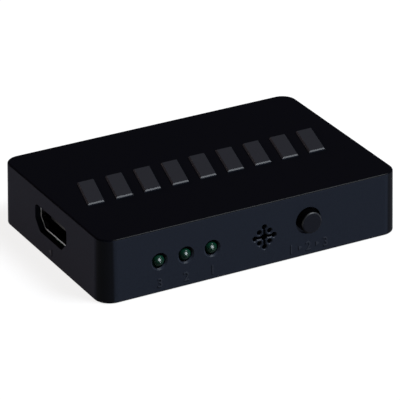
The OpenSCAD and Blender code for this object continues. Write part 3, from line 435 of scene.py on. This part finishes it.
def tinted_epoxy(name, dark, light, roughness, **inputs):
    """Cast epoxy, deep in colour, with a faint flow in its colour and gloss."""
    material, tree, shader = new_material(name, **inputs)
    coords = add(tree, "ShaderNodeTexCoord").outputs["Object"]
    flow = add(tree, "ShaderNodeTexNoise", {
        "Vector": coords, "Scale": per_mm(EPOXY_FLOW), "Detail": DETAIL}).outputs["Fac"]
    colour = add(tree, "ShaderNodeMix", {
        FACTOR: flow, COLOUR_A: srgb(dark), COLOUR_B: srgb(light)},
        data_type="RGBA").outputs[COLOUR]
    gloss = add(tree, "ShaderNodeMapRange", {
        "Value": flow, "To Min": roughness, "To Max": roughness + EPOXY_STRAY}).outputs[0]
    tree.links.new(colour, shader.inputs["Base Color"])
    tree.links.new(gloss, shader.inputs["Roughness"])
    return material


def green_lamp_epoxy():
    """Green cast epoxy of the lamps: dark and clear, with one soft shine near the middle of each lens.

    The IOR is lower than that of solid epoxy, about 1.53, because the lower half of a lens mirrors nothing.
    The coat leans up, because a high lamp alone shines only on the top of an upright lens.
    """
    material = tinted_epoxy(
        "green_lamp_epoxy", "#07301f", "#0c4030", roughness=0.08,
        IOR=1.18, Specular_IOR_Level=0.12, Transmission_Weight=0.3, Coat_Roughness=0.22)
    tree = material.node_tree
    shader = tree.nodes["Principled BSDF"]
    normal = add(tree, "ShaderNodeNewGeometry").outputs["Normal"]
    upward = add(tree, "ShaderNodeSeparateXYZ", {0: normal}).outputs["Z"]
    shine = add(tree, "ShaderNodeMapRange", {
        "Value": upward, "From Min": LAMP_SHINE_STARTS, "From Max": LAMP_SHINE_FULL,
        "To Max": LAMP_SHINE}).outputs[0]
    leaning = add(tree, "ShaderNodeVectorMath", {0: normal, 1: LAMP_LEAN}, operation="ADD").outputs[0]
    coat_normal = add(tree, "ShaderNodeVectorMath", {0: leaning}, operation="NORMALIZE").outputs[0]
    tree.links.new(shine, shader.inputs["Coat Weight"])
    tree.links.new(coat_normal, shader.inputs["Coat Normal"])
    return material


def finish(material, *names):
    """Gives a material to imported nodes."""
    for name in names:
        for slot in nodes[name].material_slots:
            slot.material = material


finish(moulded_abs_case(), "upper_case")
finish(satin_abs_button(), "select_button")
finish(nickel_plated_shell(), *(s + "_socket_shell" for s in SOCKETS))
finish(green_lamp_epoxy(), *("led_%d_lens" % n for n in INPUTS))

# ABS from a spark-eroded tool: an even, dull black
finish(grained_plastic("textured_abs_cover", "#16171b", "#1e1f24", grain_mm=0.4, roughness=0.55),
       "bottom_cover")

# Blackened steel: dark grey, with a dim shine on the heads
finish(plated_metal("blackened_screw_steel", "#2b2b2d", "#4a4a4c", stain_mm=0.3, roughness=0.4),
       "case_screws")

# Glass laminate under solder mask, drawn near black as painted shade: a deep green that barely shows through
# the openings
finish(grained_plastic("solder_mask_laminate", "#03120a", "#051a0e", grain_mm=0.8, roughness=0.4,
                       specular=0.1), "circuit_board")

# Moulded nylon: matt black, which keeps the sockets dark inside
finish(grained_plastic("moulded_nylon_insulator", "#141414", "#1d1d1e", grain_mm=0.3, roughness=0.5),
       *(s + "_socket_insulator" for s in SOCKETS))

# Gold plate: warm and bright
finish(plated_metal("gold_plated_contacts", "#b98f3c", "#e2bd6a", stain_mm=0.3, roughness=0.25),
       *(s + "_socket_contacts" for s in SOCKETS))

# Tinned wire and sheet: pale, with a soft shine
finish(plated_metal("tinned_leads", "#a5a5a3", "#c9c9c6", stain_mm=0.3, roughness=0.32),
       "led_1_leads", "led_2_leads", "led_3_leads", "switch_terminals", "switch_chip_leads",
       "control_chip_leads", "memory_leads", "regulator_leads", "chip_ends")

# Leads drawn brown and dull as painted shade, so that nothing glints behind the rosette
finish(plated_metal("painted_shade_receiver_leads", "#2a2320", "#3a322c", stain_mm=0.3, roughness=0.6), "ir_leads")

# Moulded thermoset and nylon of the push switch: matt black and matt grey
finish(grained_plastic("moulded_switch_base", "#151515", "#1f1f1f", grain_mm=0.3, roughness=0.5),
       "switch_base")
finish(grained_plastic("moulded_switch_plunger", "#757577", "#868688", grain_mm=0.3, roughness=0.45),
       "switch_plunger")

# Rolled steel: an even grey with broad, soft highlights
spring_steel = plated_metal("rolled_steel_bracket", "#9a9a9a", "#bdbdbd", stain_mm=0.4, roughness=0.34)
finish(spring_steel, "switch_bracket", "switch_dome", "ir_shield", "quartz_crystal")

# Dyed cast epoxy of the receiver: nearly black, with a clear gloss
finish(tinted_epoxy("dark_receiver_epoxy", "#120c12", "#1a121a", roughness=0.12, IOR=1.53), "ir_receiver")

# Filled moulded epoxy: a dry dark grey
finish(grained_plastic("moulded_chip_epoxy", "#1b1b1d", "#262628", grain_mm=0.25, roughness=0.6),
       "switch_chip", "control_chip", "memory_chips", "voltage_regulator", "chip_resistors",
       "capacitor_bases")

# Drawn aluminium: bright and smooth
finish(plated_metal("drawn_aluminium_can", "#b5b5b8", "#d8d8da", stain_mm=0.5, roughness=0.28),
       "capacitor_cans")

# Fired ceramic: a matt brown
finish(grained_plastic("fired_ceramic", "#8a6a48", "#a4835c", grain_mm=0.3, roughness=0.55),
       "chip_capacitors")


# Snap dome of the push switch, which flattens under the plunger as the button goes in

DOME_MERGE = 0.001 * MM


def snap_dome():
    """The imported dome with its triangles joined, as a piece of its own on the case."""
    shape = bmesh.new()
    shape.from_mesh(nodes["switch_dome"].data)
    bmesh.ops.remove_doubles(shape, verts=shape.verts, dist=DOME_MERGE)
    mesh = bpy.data.meshes.new("snap_dome")
    shape.to_mesh(mesh)
    shape.free()
    mesh.materials.append(spring_steel)
    piece = bpy.data.objects.new("snap_dome", mesh)
    bpy.context.scene.collection.objects.link(piece)
    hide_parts("switch_dome")
    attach(piece, "case")
    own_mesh(piece)


snap_dome()


# Moulded marks: plain numbers and arrows that stand a little out of the walls

MARK_HEIGHT = 2.15 * MM
MARK_RAISE = 0.12 * MM
MARK_SUNK = 0.05 * MM
MARK_Z = 2.35 * MM
MARK_STEP = 4.4 * MM
STEP_ARROW = 0.55 * MARK_HEIGHT
OUTPUT_ARROW = 0.9 * MARK_HEIGHT
FIGURE_MERGE = 1e-5

# Raised ABS of the case, drawn a little lighter than the wall: it shows as a faint line on the wall
mark_abs = grained_plastic("moulded_abs_marks", "#2f323a", "#393c45", grain_mm=0.3, roughness=0.42,
                           specular=0.01, depth=0.1)


def text_mesh(text):
    """Flat outline of some figures, one unit high and centred."""
    curve = bpy.data.curves.new("figures", "FONT")
    curve.body = text
    maker = bpy.data.objects.new("figures", curve)
    bpy.context.scene.collection.objects.link(maker)
    bpy.context.view_layer.update()
    mesh = bpy.data.meshes.new_from_object(maker.evaluated_get(bpy.context.evaluated_depsgraph_get()))
    bpy.data.objects.remove(maker)
    shape = bmesh.new()
    shape.from_mesh(mesh)
    bpy.data.meshes.remove(mesh)
    bmesh.ops.remove_doubles(shape, verts=shape.verts, dist=FIGURE_MERGE)
    xs = [v.co.x for v in shape.verts]
    ys = [v.co.y for v in shape.verts]
    centre = ((min(xs) + max(xs)) / 2, (min(ys) + max(ys)) / 2)
    tall = max(ys) - min(ys)
    bmesh.ops.translate(shape, verts=shape.verts, vec=(-centre[0], -centre[1], 0))
    bmesh.ops.scale(shape, verts=shape.verts, vec=(1 / tall, 1 / tall, 1))
    return shape


def arrow_mesh():
    """Flat triangle in a circle one unit across, that points along +X."""
    shape = bmesh.new()
    bmesh.ops.create_circle(shape, cap_ends=True, segments=3, radius=0.5)
    bmesh.ops.rotate(shape, verts=shape.verts, matrix=Matrix.Rotation(math.radians(-90), 3, "Z"))
    return shape


def raise_mark(shape, scale, place):
    """Scales a flat outline, gives it thickness and puts it in its place on a wall."""
    made = bmesh.ops.extrude_face_region(shape, geom=shape.faces[:])
    top = [g for g in made["geom"] if isinstance(g, bmesh.types.BMVert)]
    bmesh.ops.translate(shape, verts=top, vec=(0, 0, 1))
    bmesh.ops.recalc_face_normals(shape, faces=shape.faces)
    bmesh.ops.scale(shape, verts=shape.verts, vec=(scale, scale, MARK_RAISE + MARK_SUNK))
    bmesh.ops.translate(shape, verts=shape.verts, vec=(0, 0, -MARK_SUNK))
    bmesh.ops.transform(shape, verts=shape.verts, matrix=place)
    return shape


def mark_piece(name, shapes):
    """Joins outlines that are in place into one piece on the case."""
    whole = bpy.data.meshes.new(name)
    joined = bmesh.new()
    for shape in shapes:
        part = bpy.data.meshes.new(name)
        shape.to_mesh(part)
        shape.free()
        joined.from_mesh(part)
        bpy.data.meshes.remove(part)
    joined.to_mesh(whole)
    joined.free()
    whole.materials.append(mark_abs)
    piece = bpy.data.objects.new(name, whole)
    bpy.context.scene.collection.objects.link(piece)
    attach(piece, "case")


# A wall's own frame: x to the right as seen from outside, y up the leaning wall, z out of it
LEAN = math.atan(DRAFT / ROOF_Z)
STAND = Matrix.Rotation(math.radians(90) - LEAN, 4, "X")
FRONT_WALL = Matrix.Translation((0, FRONT_Y, 0)) @ STAND
BACK_WALL = Matrix.Rotation(math.radians(180), 4, "Z") @ Matrix.Translation((0, -BACK_Y, 0)) @ STAND
LEFT_WALL = Matrix.Rotation(math.radians(-90), 4, "Z") @ Matrix.Translation((0, LEFT_X, 0)) @ STAND
TURNED = Matrix.Rotation(math.radians(180), 4, "Z")


def at(wall, x):
    """Place of a mark on a wall, by how far along the wall it is."""
    return wall @ Matrix.Translation((x, MARK_Z, 0))


def front_marks():
    """Numbers below the lamps, and numbers with arrows between them below the button."""
    button_x = middle("select_button").x
    shapes = []
    for n in INPUTS:
        lamp_x = middle("led_%d_lens" % n).x
        shapes.append(raise_mark(text_mesh(str(n)), MARK_HEIGHT, at(FRONT_WALL, lamp_x)))
    for n in INPUTS:
        step_x = button_x + (n - 2) * MARK_STEP
        shapes.append(raise_mark(text_mesh(str(n)), MARK_HEIGHT, at(FRONT_WALL, step_x)))
    for side in (-0.5, 0.5):
        arrow_x = button_x + side * MARK_STEP
        shapes.append(raise_mark(arrow_mesh(), STEP_ARROW, at(FRONT_WALL, arrow_x)))
    mark_piece("front_marks", shapes)


def back_marks():
    """Number below each input."""
    shapes = []
    for n in INPUTS:
        socket_x = -middle("in_%d_socket_shell" % n).x
        shapes.append(raise_mark(text_mesh(str(n)), MARK_HEIGHT, at(BACK_WALL, socket_x)))
    mark_piece("back_marks", shapes)


def left_marks():
    """Arrow below the output."""
    mark_piece("left_marks", [raise_mark(arrow_mesh(), OUTPUT_ARROW, at(LEFT_WALL, 0) @ TURNED)])


front_marks()
back_marks()
left_marks()


# Studio: white floor, a soft lamp at the front right and a low one at the back left

FLOOR_SIZE = 4.0
FLOOR_DROP = 0.1 * MM
FLOOR_LIFT = 0.82
WORLD_STRENGTH = 0.015


def white_floor():
    """White paper: what the camera and mirrors see is lifted to white, and it keeps the shadow."""
    material, tree, shader = new_material(
        "white_paper", Roughness=0.9, Specular_IOR_Level=0.0, Base_Color=srgb("#7c7c7c"),
        Emission_Color=srgb("#ffffff"))
    path = add(tree, "ShaderNodeLightPath")
    seen = add(tree, "ShaderNodeMath", {
        0: path.outputs["Is Camera Ray"], 1: path.outputs["Is Glossy Ray"]}, operation="MAXIMUM").outputs[0]
    seen = add(tree, "ShaderNodeMath", {
        0: seen, 1: path.outputs["Is Transmission Ray"]}, operation="MAXIMUM").outputs[0]
    lift = add(tree, "ShaderNodeMath", {0: seen, 1: FLOOR_LIFT}, operation="MULTIPLY").outputs[0]
    tree.links.new(lift, shader.inputs["Emission Strength"])
    return material


def floor():
    """Floor just below the foot of the box."""
    shape = bmesh.new()
    bmesh.ops.create_grid(shape, x_segments=1, y_segments=1, size=FLOOR_SIZE / 2)
    bmesh.ops.translate(shape, verts=shape.verts, vec=(0, 0, cad_box[0].z - FLOOR_DROP))
    mesh = bpy.data.meshes.new("floor")
    shape.to_mesh(mesh)
    shape.free()
    mesh.materials.append(white_floor())
    piece = bpy.data.objects.new("floor", mesh)
    bpy.context.scene.collection.objects.link(piece)


def bearing(azimuth, elevation):
    """Direction from the object, by its bearing from the front and its height, in radians."""
    flat = math.cos(elevation)
    return Vector((math.sin(azimuth) * flat, -math.cos(azimuth) * flat, math.sin(elevation)))


def soft_lamp(name, azimuth, elevation, distance, size, power, colour, mirrored=True):
    """Square lamp aimed at the object, in degrees, metres and watts. Glossy faces show it if mirrored."""
    toward = bearing(math.radians(azimuth), math.radians(elevation))
    lamp = bpy.data.lights.new(name, "AREA")
    lamp.size = size
    lamp.energy = power
    lamp.color = srgb(colour)[:3]
    piece = bpy.data.objects.new(name, lamp)
    piece.location = toward * distance
    piece.rotation_euler = toward.to_track_quat("Z", "Y").to_euler()
    piece.visible_glossy = mirrored
    bpy.context.scene.collection.objects.link(piece)


def world():
    """Dim, nearly neutral light from all around."""
    made = bpy.data.worlds.new("dim_studio")
    bpy.context.scene.world = made
    made.use_nodes = True
    background = made.node_tree.nodes["Background"]
    background.inputs["Color"].default_value = srgb("#f2eaff")
    background.inputs["Strength"].default_value = WORLD_STRENGTH


def camera():
    """Camera at the photograph's viewing angle."""
    target = Vector((0, 0, ROOF_Z / 2))
    back = bearing(CAMERA_AZIMUTH, CAMERA_ELEVATION)
    level = Vector((math.cos(CAMERA_AZIMUTH), math.sin(CAMERA_AZIMUTH), 0))
    upward = back.cross(level)
    right = math.cos(CAMERA_ROLL) * level + math.sin(CAMERA_ROLL) * upward
    up = math.cos(CAMERA_ROLL) * upward - math.sin(CAMERA_ROLL) * level
    lens = bpy.data.cameras.new("camera")
    lens.lens = CAMERA_LENS
    lens.sensor_width = CAMERA_SENSOR
    lens.shift_x, lens.shift_y = CAMERA_SHIFT
    piece = bpy.data.objects.new("camera", lens)
    turn = Matrix((right, up, back)).transposed().to_4x4()
    piece.matrix_world = Matrix.Translation(target + back * CAMERA_DISTANCE) @ turn
    bpy.context.scene.collection.objects.link(piece)
    bpy.context.scene.camera = piece


floor()
world()
soft_lamp("key_lamp", azimuth=48, elevation=52.5, distance=2.0, size=1.0, power=56.5, colour="#f0f8ff")
soft_lamp("fill_lamp", azimuth=-155, elevation=9, distance=2.0, size=0.9, power=52.0, colour="#ffe5d9",
          mirrored=False)

# The photograph's light leaves no shadow beside the button, so it throws none
nodes["select_button"].visible_shadow = False

camera()
bpy.context.scene.view_settings.view_transform = "Standard"

bpy.context.view_layer.update()
